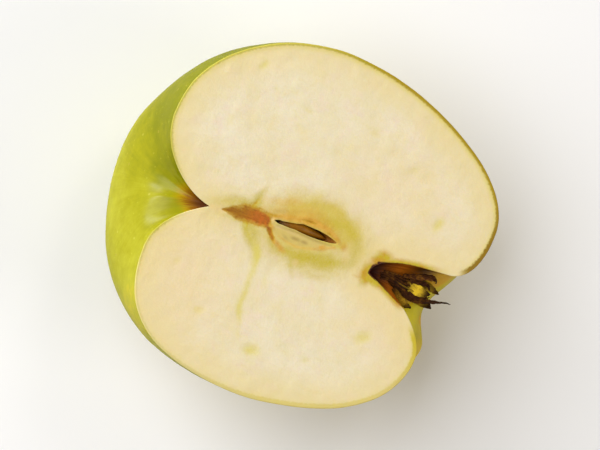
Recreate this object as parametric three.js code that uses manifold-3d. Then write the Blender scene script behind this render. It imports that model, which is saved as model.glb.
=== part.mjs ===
// Half of a pale yellow-green dessert apple, cut lengthwise through stem cavity and calyx, lying on its skin with the cut face up.
//
// Units are millimetres, +Z is up. The fruit is first worked out in its own frame:
//   x  along the core line, stem end at -x, calyx (blossom) end at +x
//   y  across the cut face, towards the bigger lobe
//   z  out of the cut face, so the flesh lies at z <= 0
// and is then laid down: it leans towards its calyx end by REST_TILT, and the lowest spot of the skin is a small flat at z = 0.
//
// The skin is one surface swept round the core line. At each azimuth its outline is a chain of five cubic arcs: stem cavity,
// stem shoulder, calyx shoulder, basin wall and calyx tube. The arcs of the two lobes are known sizes, and those between are blended
// from them, with five low crowns round the calyx end as the fruit's five carpels make them.

import * as THREE from "three";
import { mergeVertices } from "three/addons/utils/BufferGeometryUtils.js";
import Module from "manifold-3d";

const wasm = await Module();
wasm.setup();

// ---------------------------------------------------------------- driving sizes
const HALF_CORE = 18.4; // middle of the core line to the foot of the stem cavity, and to the inner end of the calyx tube
const REST_TILT = 6; // degrees that the cut face leans towards the calyx end as the half lies
const REST_FLAT = 0.5; // depth of the flat that the skin rests on

// Outline of each lobe in the cut face. x is the station along the core line, r the distance from it.
// foot* : how the stem cavity leaves its foot (degrees from +x, reach). The other reaches are the lengths of the arc handles.
const BIG_LOBE = {
  footAngle: 172.5, footReach: 5.9,
  stemCrownX: -32.4, stemCrownR: 14.2, stemCrownIn: 7.6, stemCrownOut: 15.7,
  girthX: -0.7, girthR: 38.0, girthBack: 13.9, girthFront: 19.0,
  calyxCrownX: 40.9, calyxCrownR: 16.6, calyxCrownOut: 10.9, calyxCrownIn: 6.9,
  mouthX: 34.8, mouthR: 5.6, mouthAngle: 185.6, mouthBack: 3.6, mouthFront: 5.2,
  tubeAngle: 273, tubeReach: 4.0,
};
const SMALL_LOBE = {
  footAngle: 150, footReach: 4.5,
  stemCrownX: -28.1, stemCrownR: 12.1, stemCrownIn: 6.2, stemCrownOut: 15.0,
  girthX: 0.3, girthR: 31.6, girthBack: 15.6, girthFront: 17.2,
  calyxCrownX: 34.7, calyxCrownR: 12.3, calyxCrownOut: 12.1, calyxCrownIn: 1.9,
  mouthX: 28.4, mouthR: 4.1, mouthAngle: 214.9, mouthBack: 6.3, mouthFront: 0.8,
  tubeAngle: 202, tubeReach: 2.4,
};
// What the underside has beyond a plain blend of the two lobes: a fuller stem shoulder, a steeper cavity and a longer calyx end.
const UNDERSIDE = {
  footAngle: 8, footReach: 2.0, stemCrownX: -1.2, stemCrownR: 2.0, stemCrownIn: 2.7, stemCrownOut: 3.0,
  girthX: -0.4, girthBack: 1.6, calyxCrownX: 1.0,
};
// The flanks between the lobes and the underside are a little slimmer at the stem shoulder and longer at the calyx end.
const FLANK = { footReach: 0.9, stemCrownIn: 1.2, stemCrownOut: -0.6, girthBack: -0.5, calyxCrownX: 2.0 };
// Between underside and small lobe the stem cavity opens more gently, and between underside and big lobe more steeply.
const SIDE = { footAngle: 10, footReach: 2.0, stemCrownX: -0.9, stemCrownR: -2.3, stemCrownIn: 3.0, stemCrownOut: 2.0 };
const CROWN_HEIGHT = 0.6; // the five crowns round the calyx basin
const RIB_HEIGHT = 0.12; // the same five, faint, at the girth
const STEM_RIB_HEIGHT = 0.3;

const ARC_STEPS = [9, 11, 12, 9, 9]; // along each of the five arcs
const ROUND_STEPS = 44; // round the half turn

// The seed chamber: a narrow slit in the cut face that widens below it.
const CHAMBER = {
  x0: -4.6, y0: 2.45, x1: 9.6, y1: 2.95, // its two ends
  halfWidth: 1.55, halfDepth: 2.9, sunk: 0.8, // sunk: centre's depth as a share of halfDepth
};
// The seed, on edge in its chamber, its point towards the stem end.
const PIP = { x0: -2.6, x1: 8.2, halfThick: 1.25, halfWide: 1.95, depth: 2.42 };
// Dried calyx, which keeps clear of the flesh round it: a bundle of stamens along the tube, and sepals that fan out from its end.
// round is the azimuth, 0 at the big lobe and 90 straight down.
const STAMENS = { from: [21.6, 0.5, -1.1], to: [31.6, -0.7, -2.2], half: 1.25 };
const SEPALS = [
  { round: 20, tipX: 35.4, tipR: 4.3, bow: 0.5, width: 2.4 },
  { round: 84, tipX: 38.6, tipR: 2.4, bow: -0.6, width: 3.0 },
  { round: 118, tipX: 35.0, tipR: 5.6, bow: -1.0, width: 3.0 },
  { round: 150, tipX: 31.9, tipR: 4.1, bow: 0.1, width: 2.4 },
];
const SEPAL_THICK = 0.7;

const rad = THREE.MathUtils.degToRad;

// ---------------------------------------------------------------- the skin
function lobesAt(phi) {
  const w = (1 + Math.cos(phi)) / 2;
  const under = Math.sin(phi) ** 2, flank = Math.sin(2 * phi) ** 2, side = -under * Math.cos(phi);
  const five = Math.cos(5 * phi) - Math.cos(phi); // nought at both lobes
  const p = {};
  for (const k of Object.keys(BIG_LOBE))
    p[k] = BIG_LOBE[k] * w + SMALL_LOBE[k] * (1 - w) + (UNDERSIDE[k] ?? 0) * under + (FLANK[k] ?? 0) * flank + (SIDE[k] ?? 0) * side;
  p.calyxCrownX += CROWN_HEIGHT * five;
  p.girthR += RIB_HEIGHT * five;
  p.stemCrownX -= STEM_RIB_HEIGHT * five;
  return p;
}

const v2 = (x, r) => new THREE.Vector2(x, r);
const toward = (from, degrees, reach) =>
  v2(from.x + reach * Math.cos(rad(degrees)), from.y + reach * Math.sin(rad(degrees)));

function outline(phi) {
  const p = lobesAt(phi);
  const foot = v2(-HALF_CORE, 0), end = v2(HALF_CORE, 0);
  const stem = v2(p.stemCrownX, p.stemCrownR), girth = v2(p.girthX, p.girthR);
  const crown = v2(p.calyxCrownX, p.calyxCrownR), mouth = v2(p.mouthX, p.mouthR);
  const arc = (a, b, c, d) => new THREE.CubicBezierCurve(a, b, c, d);
  return [
    arc(foot, toward(foot, p.footAngle, p.footReach), v2(stem.x, stem.y - p.stemCrownIn), stem),
    arc(stem, v2(stem.x, stem.y + p.stemCrownOut), v2(girth.x - p.girthBack, girth.y), girth),
    arc(girth, v2(girth.x + p.girthFront, girth.y), v2(crown.x, crown.y + p.calyxCrownOut), crown),
    arc(crown, v2(crown.x, crown.y - p.calyxCrownIn), toward(mouth, p.mouthAngle, -p.mouthBack), mouth),
    arc(mouth, toward(mouth, p.mouthAngle, p.mouthFront), toward(end, p.tubeAngle, -p.tubeReach), end),
  ];
}

const onSkin = (q, phi) => [q.x, q.y * Math.cos(phi), -q.y * Math.sin(phi)];

// ---------------------------------------------------------------- meshes
function geometryOf(points, triangles) {
  const g = new THREE.BufferGeometry();
  g.setAttribute("position", new THREE.Float32BufferAttribute(points.flat(), 3));
  g.setIndex(triangles.flat());
  return g;
}

function solidOf(geometry) {
  const g = geometry.clone();
  g.deleteAttribute("normal");
  g.deleteAttribute("uv");
  const m = mergeVertices(g, 1e-4);
  const triVerts = [];
  for (let i = 0; i < m.index.count; i += 3) {
    const [a, b, c] = [m.index.getX(i), m.index.getX(i + 1), m.index.getX(i + 2)];
    if (a !== b && b !== c && c !== a) triVerts.push(a, b, c);
  }
  const s = new wasm.Manifold(
    new wasm.Mesh({
      numProp: 3,
      vertProperties: new Float32Array(m.attributes.position.array),
      triVerts: new Uint32Array(triVerts),
    }),
  );
  if (s.volume() < 0) throw new Error("a solid faces inwards");
  return s;
}

function meshOf(solid, name, material) {
  const m = solid.getMesh(), points = [];
  for (let i = 0; i < m.numVert; i++)
    points.push([...m.vertProperties.subarray(i * m.numProp, i * m.numProp + 3)]);
  const g = geometryOf(points, [...m.triVerts]);
  g.computeVertexNormals();
  const mesh = new THREE.Mesh(g, material);
  mesh.name = name;
  return mesh;
}

// The half apple: the skin swept round, closed by the cut face.
function halfFruit() {
  const columns = [];
  for (let j = 0; j <= ROUND_STEPS; j++) {
    const phi = (Math.PI * j) / ROUND_STEPS;
    const column = [v2(-HALF_CORE, 0)];
    outline(phi).forEach((curve, k) => {
      for (let i = 1; i <= ARC_STEPS[k]; i++) column.push(curve.getPoint(i / ARC_STEPS[k]));
    });
    columns.push(column.map((q) => onSkin(q, phi)));
  }
  const rows = columns[0].length;
  const points = columns.flat(), triangles = [];
  const at = (i, j) => j * rows + i;
  // at both ends of the core line a column shares one point, and the empty triangles there are dropped when the solid is made
  for (let j = 0; j < ROUND_STEPS; j++)
    for (let i = 0; i < rows - 1; i++)
      triangles.push([at(i, j), at(i + 1, j), at(i, j + 1)], [at(i + 1, j), at(i + 1, j + 1), at(i, j + 1)]);
  // the cut face, its triangles turned to face +z
  const rim = [];
  for (let i = 0; i < rows; i++) rim.push(at(i, 0));
  for (let i = rows - 2; i > 0; i--) rim.push(at(i, ROUND_STEPS));
  const flat = rim.map((k) => v2(points[k][0], points[k][1]));
  for (const t of THREE.ShapeUtils.triangulateShape(flat, [])) {
    const up = THREE.ShapeUtils.area(t.map((k) => flat[k])) > 0;
    triangles.push((up ? t : [...t].reverse()).map((k) => rim[k]));
  }
  return { points, triangles };
}

// A closed body through rings of equal length, with a point at each end.
function loft(start, rings, finish) {
  const n = rings[0].length, points = [start, ...rings.flat(), finish], triangles = [];
  const at = (k, i) => 1 + k * n + (((i % n) + n) % n);
  for (let i = 0; i < n; i++) {
    triangles.push([0, at(0, i + 1), at(0, i)]);
    for (let k = 0; k < rings.length - 1; k++)
      triangles.push([at(k, i), at(k, i + 1), at(k + 1, i)], [at(k + 1, i), at(k, i + 1), at(k + 1, i + 1)]);
    triangles.push([points.length - 1, at(rings.length - 1, i), at(rings.length - 1, i + 1)]);
  }
  return geometryOf(points, triangles);
}

// A spindle with oval sections across x: centre(u, girth) is its line, and girth(u) goes from 0 through 1 to 0.
function spindle(centre, halfY, halfZ, girth, steps, sides) {
  const rings = [];
  for (let k = 1; k < steps; k++) {
    const s = girth(k / steps), [x, y, z] = centre(k / steps, s), ring = [];
    for (let i = 0; i < sides; i++) {
      const a = (2 * Math.PI * i) / sides;
      ring.push([x, y + halfY * s * Math.cos(a), z + halfZ * s * Math.sin(a)]);
    }
    rings.push(ring);
  }
  return loft(centre(0, 0), rings, centre(1, 0));
}

const between = (a, b, u) => a + (b - a) * u;
const chamberGirth = (u) => (1 - Math.abs(2 * u - 1) ** 2.4) ** 0.75;
const chamberY = (x) => between(CHAMBER.y0, CHAMBER.y1, (x - CHAMBER.x0) / (CHAMBER.x1 - CHAMBER.x0));
const pipGirth = (u) => Math.sin(Math.PI * u ** 0.72) ** 0.8; // widest beyond its middle, so its point is at x0

// ---------------------------------------------------------------- solids, in the fruit's own frame
const { points, triangles } = halfFruit();
let flesh = solidOf(geometryOf(points, triangles));

const chamber = solidOf(
  spindle(
    (u, s) => [between(CHAMBER.x0, CHAMBER.x1, u), between(CHAMBER.y0, CHAMBER.y1, u), -CHAMBER.sunk * CHAMBER.halfDepth * s],
    CHAMBER.halfWidth, CHAMBER.halfDepth, chamberGirth, 22, 24,
  ),
);
flesh = flesh.subtract(chamber);

const pip = solidOf(
  spindle(
    (u) => [between(PIP.x0, PIP.x1, u), chamberY(between(PIP.x0, PIP.x1, u)), -PIP.depth],
    PIP.halfThick, PIP.halfWide, pipGirth, 14, 16,
  ),
);

const stamens = solidOf(
  spindle(
    (u) => STAMENS.from.map((v, i) => between(v, STAMENS.to[i], u)),
    STAMENS.half, STAMENS.half, (u) => Math.sin(Math.PI * u ** 1.5) ** 0.7, 12, 12,
  ),
);

// A sepal: a thin pointed blade from inside the end of the stamens out over the basin.
function sepal({ round, tipX, tipR, bow, width }) {
  const phi = rad(round), steps = 8, sides = 10, rings = [];
  const out = new THREE.Vector3(0, Math.cos(phi), -Math.sin(phi)); // away from the core line
  const base = new THREE.Vector3(...STAMENS.from).lerp(new THREE.Vector3(...STAMENS.to), 0.82);
  const tip = new THREE.Vector3(tipX, 0, 0).addScaledVector(out, tipR);
  const middle = base.clone().lerp(tip, 0.5).addScaledVector(out, bow);
  const spine = new THREE.QuadraticBezierCurve3(base, middle, tip);
  const side = new THREE.Vector3().crossVectors(out, tip.clone().sub(base)).normalize();
  for (let k = 0; k < steps; k++) {
    const t = k / steps, c = spine.getPoint(t), along = spine.getTangent(t);
    const up = new THREE.Vector3().crossVectors(along, side).normalize();
    const half = (width / 2) * (0.55 + 1.6 * t) * (1 - t ** 1.5) + 0.12, ring = [];
    for (let i = 0; i < sides; i++) {
      const a = (2 * Math.PI * i) / sides;
      const q = c.clone().addScaledVector(side, half * Math.cos(a))
        .addScaledVector(up, (SEPAL_THICK / 2) * (1 - 0.5 * t) * Math.sin(a));
      ring.push(q.toArray());
    }
    rings.push(ring);
  }
  const start = base.clone().addScaledVector(spine.getTangent(0), -0.3);
  return solidOf(loft(start.toArray(), rings, tip.toArray()));
}

let calyx = stamens;
for (const s of SEPALS) calyx = calyx.add(sepal(s));

// ---------------------------------------------------------------- laying it down
// The frame's origin is under the middle of the half, at the level of the surface that it lies on.
const lean = rad(REST_TILT);
const level = points.map(([x, , z]) => -x * Math.sin(lean) + z * Math.cos(lean));
const across = points.map(([, y]) => y);
const along = points.map(([x, , z]) => x * Math.cos(lean) + z * Math.sin(lean));
const middle = (list) => (Math.min(...list) + Math.max(...list)) / 2;
const place = new THREE.Group();
place.rotation.y = lean;
place.position.set(-middle(along), -middle(across), -(Math.min(...level) + REST_FLAT));
place.updateMatrixWorld(true);

// the flat it rests on: all that reaches below the surface is cut off
const under = new THREE.BoxGeometry(200, 200, 20);
under.translate(0, 0, -10);
under.applyMatrix4(place.matrixWorld.clone().invert());
flesh = flesh.subtract(solidOf(under));

const fleshMaterial = new THREE.MeshStandardMaterial({ color: 0xeedfbb, roughness: 0.5, metalness: 0 });
const pipMaterial = new THREE.MeshStandardMaterial({ color: 0x5a3214, roughness: 0.35, metalness: 0 });
const calyxMaterial = new THREE.MeshStandardMaterial({ color: 0x4a2d1c, roughness: 0.9, metalness: 0 });

place.add(meshOf(flesh, "flesh", fleshMaterial));
place.add(meshOf(pip, "pip", pipMaterial));
place.add(meshOf(calyx, "calyx", calyxMaterial));

const half = new THREE.Group();
half.add(place);
export default half;
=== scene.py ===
import math

import bpy
import numpy as np
from mathutils import Matrix, Vector, geometry


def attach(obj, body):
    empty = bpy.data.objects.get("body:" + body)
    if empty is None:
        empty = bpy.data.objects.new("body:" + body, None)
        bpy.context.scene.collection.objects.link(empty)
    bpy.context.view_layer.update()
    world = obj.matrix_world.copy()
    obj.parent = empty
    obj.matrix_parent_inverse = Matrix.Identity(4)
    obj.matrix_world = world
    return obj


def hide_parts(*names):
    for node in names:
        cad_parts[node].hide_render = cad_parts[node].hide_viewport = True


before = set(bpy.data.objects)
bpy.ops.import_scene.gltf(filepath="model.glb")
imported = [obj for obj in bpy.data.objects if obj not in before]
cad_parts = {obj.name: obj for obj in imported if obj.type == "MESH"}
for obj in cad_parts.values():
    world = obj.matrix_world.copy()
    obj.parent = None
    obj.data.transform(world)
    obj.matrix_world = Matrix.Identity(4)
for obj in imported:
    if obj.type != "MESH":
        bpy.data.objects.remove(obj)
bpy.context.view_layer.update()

# ------------------------------------------------------------------ the fruit's own frame, in millimetres
# x along the core line (stem end -x, calyx end +x), y across the cut face towards the bigger lobe, z out of the cut face.
HALF_CORE = 18.4
REST_TILT = math.radians(6)
PLACE = np.array([-3.622163, -3.2, 34.513077])  # of the fruit frame's origin in the row frame

BIG_LOBE = dict(
    footAngle=172.5, footReach=5.9,
    stemCrownX=-32.4, stemCrownR=14.2, stemCrownIn=7.6, stemCrownOut=15.7,
    girthX=-0.7, girthR=38.0, girthBack=13.9, girthFront=19.0,
    calyxCrownX=40.9, calyxCrownR=16.6, calyxCrownOut=10.9, calyxCrownIn=6.9,
    mouthX=34.8, mouthR=5.6, mouthAngle=185.6, mouthBack=3.6, mouthFront=5.2,
    tubeAngle=273, tubeReach=4.0,
)
SMALL_LOBE = dict(
    footAngle=150, footReach=4.5,
    stemCrownX=-28.1, stemCrownR=12.1, stemCrownIn=6.2, stemCrownOut=15.0,
    girthX=0.3, girthR=31.6, girthBack=15.6, girthFront=17.2,
    calyxCrownX=34.7, calyxCrownR=12.3, calyxCrownOut=12.1, calyxCrownIn=1.9,
    mouthX=28.4, mouthR=4.1, mouthAngle=214.9, mouthBack=6.3, mouthFront=0.8,
    tubeAngle=202, tubeReach=2.4,
)
UNDERSIDE = dict(
    footAngle=8, footReach=2.0, stemCrownX=-1.2, stemCrownR=2.0, stemCrownIn=2.7, stemCrownOut=3.0,
    girthX=-0.4, girthBack=1.6, calyxCrownX=1.0,
)
FLANK = dict(footReach=0.9, stemCrownIn=1.2, stemCrownOut=-0.6, girthBack=-0.5, calyxCrownX=2.0)
SIDE = dict(footAngle=10, footReach=2.0, stemCrownX=-0.9, stemCrownR=-2.3, stemCrownIn=3.0, stemCrownOut=2.0)
CROWN_HEIGHT, RIB_HEIGHT, STEM_RIB_HEIGHT = 0.6, 0.12, 0.3

CHAMBER = dict(x0=-4.6, x1=9.6, y=2.8, halfWidth=1.55, halfDepth=2.9, sunk=0.8)
PIP = dict(x0=-2.6, x1=8.2, halfThick=1.25, halfWide=1.95, depth=2.42)


def to_row(p):
    """Fruit frame in mm to the row frame in metres."""
    c, s = math.cos(REST_TILT), math.sin(REST_TILT)
    x, y, z = p[..., 0], p[..., 1], p[..., 2]
    return (np.stack([c * x + s * z, y, -s * x + c * z], -1) + PLACE) / 1000


# ------------------------------------------------------------------ smooth noise on lattice values, the same in each run
def lattice(ix, iy, iz, seed):
    h = (ix * 374761393 + iy * 668265263 + iz * 1442695041 + seed * 974634777) & 0xFFFFFFFF
    h = ((h ^ (h >> 13)) * 1274126177) & 0xFFFFFFFF
    h = ((h ^ (h >> 15)) * 2246822519) & 0xFFFFFFFF
    return ((h ^ (h >> 16)) & 0xFFFF) / 32767.5 - 1


def noise(p, size, seed=0, octaves=1, gain=0.5):
    """Value noise from -1 to 1 at points p (n, 3), with features of that size."""
    p = np.asarray(p, float)
    total, amount, norm = 0, 1.0, 0.0
    for o in range(octaves):
        q = p / size * 2.03**o + seed * 7.31 + o * 3.7
        i = np.floor(q).astype(np.int64)
        f = q - i
        f = f * f * f * (f * (f * 6 - 15) + 10)
        v = 0
        for dx in (0, 1):
            wx = f[..., 0] if dx else 1 - f[..., 0]
            for dy in (0, 1):
                wy = f[..., 1] if dy else 1 - f[..., 1]
                for dz in (0, 1):
                    wz = f[..., 2] if dz else 1 - f[..., 2]
                    v = v + wx * wy * wz * lattice(i[..., 0] + dx, i[..., 1] + dy, i[..., 2] + dz, seed + 31 * o)
        total = total + amount * v
        norm += amount
        amount *= gain
    return total / norm


def smooth(x, lo, hi):
    t = np.clip((np.asarray(x, float) - lo) / (hi - lo), 0, 1)
    return t * t * (3 - 2 * t)


def bump(x, centre, half):
    """1 at centre, falling smoothly to 0 at half away."""
    return 1 - smooth(np.abs(np.asarray(x, float) - centre), 0, half)


# ------------------------------------------------------------------ the skin
def lobes_at(phi):
    w = (1 + np.cos(phi)) / 2
    under, flank, side = np.sin(phi) ** 2, np.sin(2 * phi) ** 2, -np.sin(phi) ** 2 * np.cos(phi)
    five = np.cos(5 * phi) - np.cos(phi)
    p = {
        k: BIG_LOBE[k] * w + SMALL_LOBE[k] * (1 - w) + UNDERSIDE.get(k, 0) * under + FLANK.get(k, 0) * flank + SIDE.get(k, 0) * side
        for k in BIG_LOBE
    }
    p["calyxCrownX"] = p["calyxCrownX"] + CROWN_HEIGHT * five
    p["girthR"] = p["girthR"] + RIB_HEIGHT * five
    p["stemCrownX"] = p["stemCrownX"] - STEM_RIB_HEIGHT * five
    return p


def outline(phi, stations):
    """x and r at each station (0 to 5, one unit to an arc) and azimuth: arrays (station, azimuth)."""
    p = lobes_at(phi)
    nought = 0 * phi

    def toward(a, degrees, reach):
        return a[0] + reach * np.cos(np.radians(degrees)), a[1] + reach * np.sin(np.radians(degrees))

    foot, end = (nought - HALF_CORE, nought), (nought + HALF_CORE, nought)
    stem, girth = (p["stemCrownX"], p["stemCrownR"]), (p["girthX"], p["girthR"])
    crown, mouth = (p["calyxCrownX"], p["calyxCrownR"]), (p["mouthX"], p["mouthR"])
    arcs = [
        (foot, toward(foot, p["footAngle"], p["footReach"]), (stem[0], stem[1] - p["stemCrownIn"]), stem),
        (stem, (stem[0], stem[1] + p["stemCrownOut"]), (girth[0] - p["girthBack"], girth[1]), girth),
        (girth, (girth[0] + p["girthFront"], girth[1]), (crown[0], crown[1] + p["calyxCrownOut"]), crown),
        (crown, (crown[0], crown[1] - p["calyxCrownIn"]), toward(mouth, p["mouthAngle"], -p["mouthBack"]), mouth),
        (mouth, toward(mouth, p["mouthAngle"], p["mouthFront"]), toward(end, p["tubeAngle"], -p["tubeReach"]), end),
    ]
    X, R = np.zeros((len(stations), len(phi))), np.zeros((len(stations), len(phi)))
    for k, s in enumerate(stations):
        a = min(int(s), 4)
        t = s - a
        w = ((1 - t) ** 3, 3 * (1 - t) ** 2 * t, 3 * (1 - t) * t * t, t**3)
        X[k] = sum(w[i] * arcs[a][i][0] for i in range(4))
        R[k] = sum(w[i] * arcs[a][i][1] for i in range(4))
    return X, R


ARC_STEPS = [38, 58, 64, 28, 36]
stations = np.concatenate([[0.0]] + [a + np.arange(1, n + 1) / n for a, n in enumerate(ARC_STEPS)])
phi = np.concatenate([[0, 0.0035, 0.0095], np.linspace(0.0185, math.pi - 0.0185, 172), [math.pi - 0.0095, math.pi - 0.0035, math.pi]])
X, R = outline(phi, stations)
S = np.repeat(stations[:, None], len(phi), 1)
PHI = np.repeat(phi[None, :], len(stations), 0)
P = np.stack([X, R * np.cos(PHI), -R * np.sin(PHI)], -1)
along, round_ = np.gradient(P, axis=0), np.gradient(P, axis=1)
N = np.cross(along, round_)
N /= np.linalg.norm(N, axis=-1, keepdims=True) + 1e-9
if ((P[100, 80] - np.array([0, 0, -8.0])) * N[100, 80]).sum() < 0:
    N = -N
# low swellings of the flesh under the skin, and a finer unevenness; furrows that run down into the stem cavity
fade = smooth(R, 1.5, 9)  # the two ends of the core line stay put
swell = 0.20 * noise(P, 13.0, 3) + 0.07 * noise(P, 5.0, 5) + 0.018 * noise(P, 1.6, 8)
cavity = 1 - smooth(S, 0.35, 0.98)
furrow = cavity**2 * smooth(R, 0.8, 4) * (0.05 * np.cos(9 * PHI + 0.7) + 0.03 * np.cos(17 * PHI + 2.1))
tube_wall = smooth(S, 3.95, 4.3)
ripple = tube_wall * smooth(R, 0.4, 2) * 0.10 * noise(np.stack([0 * S, PHI * 9, S * 2.5], -1), 1.0, 12)
lift = fade * swell * (1 - 0.6 * tube_wall) + furrow + ripple
lift[-1] = 0
lift[0] = 0
skin = P + N * lift[..., None]
skin[:, 0, 2] = -0.0028 * R[:, 0]  # the knife's edge is very slightly rounded
skin[:, -1, 2] = -0.0028 * R[:, -1]
rows_, cols = skin.shape[:2]

skin_points = [skin[0, 0], skin[-1, 0]]  # foot of the stem cavity, inner end of the calyx tube
grid_index = np.zeros((rows_, cols), int)
grid_index[0, :], grid_index[-1, :] = 0, 1
grid_index[1:-1, :] = 2 + np.arange((rows_ - 2) * cols).reshape(rows_ - 2, cols)
skin_points = np.concatenate([np.array(skin_points), skin[1:-1].reshape(-1, 3)])
skin_station = np.concatenate([[0.0, 5.0], S[1:-1].ravel()])
skin_phi = np.concatenate([[1.5, 1.5], PHI[1:-1].ravel()])
skin_faces = []
for j in range(cols - 1):
    for i in range(rows_ - 1):
        a, b, c, d = grid_index[i, j], grid_index[i + 1, j], grid_index[i + 1, j + 1], grid_index[i, j + 1]
        if i == 0:
            skin_faces.append((a, b, c))
        elif i == rows_ - 2:
            skin_faces.append((a, b, d))
        else:
            skin_faces.append((a, b, c, d))

# ------------------------------------------------------------------ the seed chamber, open to the cut face
K, J = 46, 24
u = (1 - np.cos(np.pi * np.arange(K + 1) / K)) / 2
girth = (1 - np.abs(2 * u - 1) ** 2.4).clip(0) ** 0.75
chamber_x = CHAMBER["x0"] + (CHAMBER["x1"] - CHAMBER["x0"]) * u
line = np.stack([chamber_x, 0 * u, 0 * u], -1)
chamber_mid = CHAMBER["y"] - 0.42 + 0.60 * smooth(u, 0.0, 0.55) - 0.10 * smooth(u, 0.6, 1.0) + 0.10 * noise(line, 2.2, 21) * np.sin(np.pi * u)
pinch = 0.60 + 0.40 * smooth(chamber_x, -1.6, 3.4) + 0.30 * bump(chamber_x, -3.7, 1.1) + 0.06 * noise(line, 1.3, 22)
open_angle = math.asin(CHAMBER["sunk"])
sweep = np.linspace(open_angle, -math.pi - open_angle, J + 1)
A, U = np.meshgrid(sweep, np.arange(K + 1))
s_ = girth[U]
edge_side = np.abs(np.sin((A - open_angle) / (2 * open_angle + math.pi) * math.pi))  # 0 at the opening, 1 at the bottom
chamber = np.stack(
    [
        chamber_x[U],
        chamber_mid[U] + CHAMBER["halfWidth"] * s_ * np.cos(A) * (1 + (pinch[U] - 1) * (1 - 0.6 * edge_side)),
        CHAMBER["halfDepth"] * s_ * (np.sin(A) - CHAMBER["sunk"]),
    ],
    -1,
)
chamber[..., 2] = np.where((np.arange(J + 1) == 0) | (np.arange(J + 1) == J), 0.0, np.minimum(chamber[..., 2], -1e-4))
wrinkle = 0.06 * noise(chamber * np.array([0.5, 1, 1]), 1.1, 25) * edge_side * s_
chamber[..., 1] += wrinkle * np.sign(np.cos(A))
hole = np.concatenate([chamber[:, 0, :2], chamber[-2:0:-1, J, :2]])  # the opening's outline


# ------------------------------------------------------------------ the cut face
def distance_to(poly, pts, chunk=4000):
    """Distance of each point to a closed outline."""
    a, b = poly, np.roll(poly, -1, 0)
    d = b - a
    l2 = (d**2).sum(1) + 1e-12
    out = np.zeros(len(pts))
    for k in range(0, len(pts), chunk):
        p = pts[k : k + chunk, None, :]
        t = (((p - a) * d).sum(-1) / l2).clip(0, 1)
        q = a + d * t[..., None]
        out[k : k + chunk] = np.sqrt(((p - q) ** 2).sum(-1)).min(1)
    return out


def inside(poly, pts, chunk=8000):
    a, b = poly, np.roll(poly, -1, 0)
    out = np.zeros(len(pts), bool)
    for k in range(0, len(pts), chunk):
        p = pts[k : k + chunk]
        cross = (a[:, 1] > p[:, 1:2]) != (b[:, 1] > p[:, 1:2])
        with np.errstate(divide="ignore", invalid="ignore"):
            xs = a[:, 0] + (p[:, 1:2] - a[:, 1]) * (b[:, 0] - a[:, 0]) / (b[:, 1] - a[:, 1])
        out[k : k + chunk] = (cross & (p[:, 0:1] < xs)).sum(1) % 2 == 1
    return out


def hexes(x0, x1, y0, y1, step):
    ys = np.arange(y0, y1, step * math.sqrt(3) / 2)
    grid = [np.stack([np.arange(x0, x1, step) + (k % 2) * step / 2, np.full(len(np.arange(x0, x1, step)), y)], -1) for k, y in enumerate(ys)]
    return np.concatenate(grid)


rim_ids = [grid_index[i, 0] for i in range(rows_)] + [grid_index[i, cols - 1] for i in range(rows_ - 2, 0, -1)]
rim = skin_points[rim_ids][:, :2]


def offset_ring(poly, d, outward):
    """Points at distance d beside an outline, dropped where another stretch of it comes closer."""
    t = np.roll(poly, -1, 0) - np.roll(poly, 1, 0)
    t /= np.linalg.norm(t, axis=1, keepdims=True) + 1e-9
    n = np.stack([t[:, 1], -t[:, 0]], -1) * (1 if outward else -1)
    area = 0.5 * np.sum(poly[:, 0] * np.roll(poly[:, 1], -1) - np.roll(poly[:, 0], -1) * poly[:, 1])
    ring = poly + n * d * (1 if area > 0 else -1)
    return ring[distance_to(poly, ring) > 0.93 * d]


FINE = (-19.5, 19.5, -6.5, 11.5)  # where the core's small features are
coarse = hexes(-40, 44, -34, 40, 0.44)
fine = hexes(*FINE, 0.21)
in_fine = lambda p: (p[:, 0] > FINE[0]) & (p[:, 0] < FINE[1]) & (p[:, 1] > FINE[2]) & (p[:, 1] < FINE[3])
coarse = coarse[inside(rim, coarse) & ~in_fine(coarse)]
coarse = coarse[distance_to(rim, coarse) > 0.9]
fine = fine[inside(rim, fine)]
fine = fine[(distance_to(rim, fine) > 0.3) & ~inside(hole, fine)]
fine = fine[distance_to(hole, fine) > 0.42]
rings = [offset_ring(rim, d, False) for d in (0.12, 0.34, 0.66)]
rings = [r[inside(rim, r)] for r in rings]
rings[2] = rings[2][~in_fine(rings[2])]
lips = [offset_ring(hole, d, True) for d in (0.10, 0.27)]
flat = np.concatenate([rim, hole, *rings, *lips, coarse, fine])
edges = [(i, (i + 1) % len(rim)) for i in range(len(rim))]
edges += [(len(rim) + i, len(rim) + (i + 1) % len(hole)) for i in range(len(hole))]
got = geometry.delaunay_2d_cdt([Vector(p) for p in flat], edges, [], 0, 1e-5)
source = np.array([o[0] if o else -1 for o in got[3]])
tri = np.array([f for f in got[2] if len(f) == 3])
where = np.array([tuple(v) for v in got[0]])
middle = where[tri].mean(1)
keep = inside(rim, middle) & ~inside(hole, middle)
tri = tri[keep]
area = np.cross(where[tri[:, 1]] - where[tri[:, 0]], where[tri[:, 2]] - where[tri[:, 0]])
tri[area < 0] = tri[area < 0][:, ::-1]
if (source < 0).any():
    print("cut face: points that the triangulation added:", int((source < 0).sum()))

face_xy = flat  # the rim's points first, then the hole's, then those between
to_rim = distance_to(rim, face_xy)
to_hole = distance_to(hole, face_xy)
rim_station = skin_station[rim_ids]


def rim_value(values, xy, chunk=3000):
    """The value of the nearest place on the rim."""
    out = np.zeros(len(xy))
    for k in range(0, len(xy), chunk):
        d = ((xy[k : k + chunk, None, :] - rim[None]) ** 2).sum(-1)
        out[k : k + chunk] = values[d.argmin(1)]
    return out


# the skin shows as a green line where it was cut, but not down in the two hollows
peel = rim_value(smooth(rim_station, 0.18, 0.75) * (1 - smooth(rim_station, 3.55, 3.85)), face_xy)
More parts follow.
